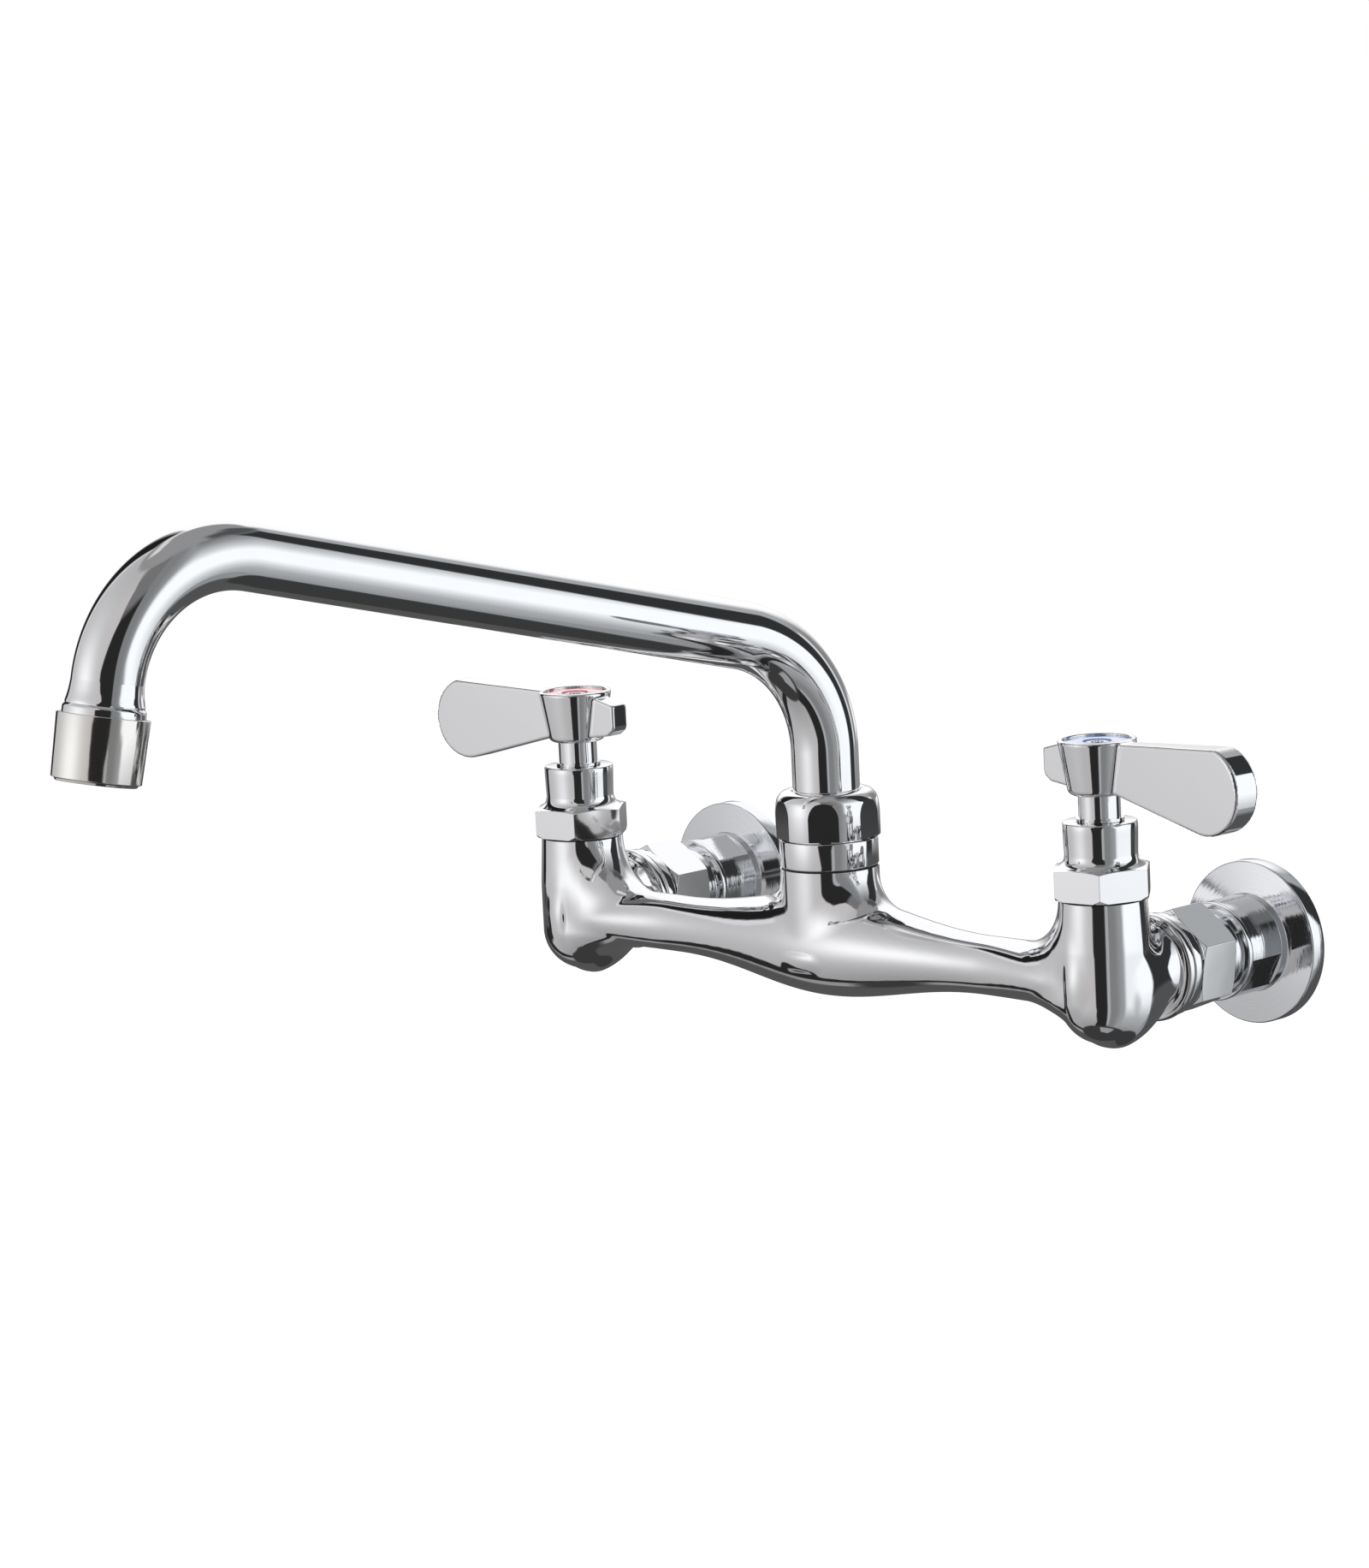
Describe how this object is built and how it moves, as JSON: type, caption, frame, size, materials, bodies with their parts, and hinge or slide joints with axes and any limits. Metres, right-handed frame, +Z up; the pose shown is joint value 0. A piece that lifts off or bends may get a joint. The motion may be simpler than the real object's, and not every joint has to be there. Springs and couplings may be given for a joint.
{
  "type": "wall faucet",
  "caption": "Wall-mounted kitchen faucet with hot and cold lever valves on a cross bar, union nuts and flanges at the wall, and a swinging arched spout with an aerator.",
  "frame": {"origin": "on the wall, midway between the two inlets, at the height of the inlet axes", "axes": "+X to the right as one faces the wall, along the row of valves, +Y into the wall, +Z up"},
  "size_m": [0.3112, 0.3065, 0.1625],
  "materials": {
    "chrome": "polished",
    "chrome_stem": "polished",
    "brushed_chrome": "machined and plated",
    "satin_chrome": "satin",
    "brass": "machined",
    "rubber": "matte",
    "ceramic": "lapped ceramic",
    "white_plastic": "moulded",
    "steel_mesh": "woven mesh",
    "red_plastic": "moulded",
    "blue_plastic": "moulded"
  },
  "bodies": {
    "body": {"faucet_body": "chrome", "spout_adapter": "chrome", "adapter_gasket": "rubber", "spout_nut": "chrome", "glide_ring": "white_plastic", "hot_bonnet": "chrome", "hot_bonnet_gasket": "rubber", "hot_cartridge_cage": "brass", "hot_seat_seal": "rubber", "hot_fixed_disc": "ceramic", "hot_thrust_washer": "white_plastic", "hot_union_nut": "chrome", "hot_split_ring": "brass", "hot_union_gasket": "rubber", "hot_wall_flange": "brushed_chrome", "cold_bonnet": "chrome", "cold_bonnet_gasket": "rubber", "cold_cartridge_cage": "brass", "cold_seat_seal": "rubber", "cold_fixed_disc": "ceramic", "cold_thrust_washer": "white_plastic", "cold_union_nut": "chrome", "cold_split_ring": "brass", "cold_union_gasket": "rubber", "cold_wall_flange": "brushed_chrome"},
    "spout": {"spout_tube": "chrome", "spout_sleeve": "brass", "spout_o_rings": "rubber", "outlet_fitting": "chrome", "aerator_shell": "satin_chrome", "aerator_washer": "rubber", "aerator_insert": "white_plastic", "aerator_screen": "steel_mesh"},
    "hot_handle": {"hot_moving_disc": "ceramic", "hot_stem": "chrome_stem", "hot_stem_o_rings": "rubber", "hot_stem_clip": "chrome_stem", "hot_lever_handle": "chrome", "hot_handle_screw": "chrome_stem", "hot_index_ring": "red_plastic"},
    "cold_handle": {"cold_moving_disc": "ceramic", "cold_stem": "chrome_stem", "cold_stem_o_rings": "rubber", "cold_stem_clip": "chrome_stem", "cold_lever_handle": "chrome", "cold_handle_screw": "chrome_stem", "cold_index_ring": "blue_plastic"}
  },
  "joints": [
    {"name": "spout_swivel", "type": "hinge", "parent": "body", "child": "spout", "pos_m": [0, -0.0655, 0.0385], "axis": [0, 0, 1], "range_deg": [-81, 99]},
    {"name": "hot_valve", "type": "hinge", "parent": "body", "child": "hot_handle", "pos_m": [-0.1016, -0.0655, 0.043], "axis": [0, 0, 1], "range_deg": [0, 90]},
    {"name": "cold_valve", "type": "hinge", "parent": "body", "child": "cold_handle", "pos_m": [0.1016, -0.0655, 0.043], "axis": [0, 0, 1], "range_deg": [-90, 0]}
  ]
}
